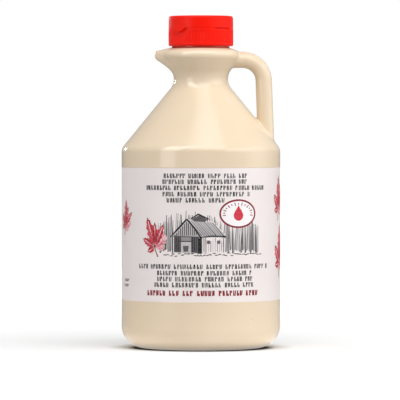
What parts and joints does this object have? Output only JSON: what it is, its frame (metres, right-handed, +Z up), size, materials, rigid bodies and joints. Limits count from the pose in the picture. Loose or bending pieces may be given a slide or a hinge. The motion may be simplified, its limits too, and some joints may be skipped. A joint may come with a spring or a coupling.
{
  "type": "syrup jug",
  "caption": "Shut round plastic syrup jug with a sloping shoulder, narrow waist, collar with a pouring lip, loop handle, flip-top cap and wrap label.",
  "frame": {"origin": "centre of the round base, on the plane that the jug stands on", "axes": "+Z up along the body's axis; the handle points to +X and the pouring lip to -X; the label's front faces -Y"},
  "size_m": [0.098, 0.098, 0.2046],
  "materials": {
    "jug_plastic": "satin cream polyethylene, faintly translucent",
    "cap_plastic": "glossy red polypropylene",
    "label_film": "smooth satin label stock with a flat print"
  },
  "bodies": {
    "root": {"jug": "jug_plastic", "cap": "cap_plastic", "label": "label_film"}
  },
  "joints": []
}
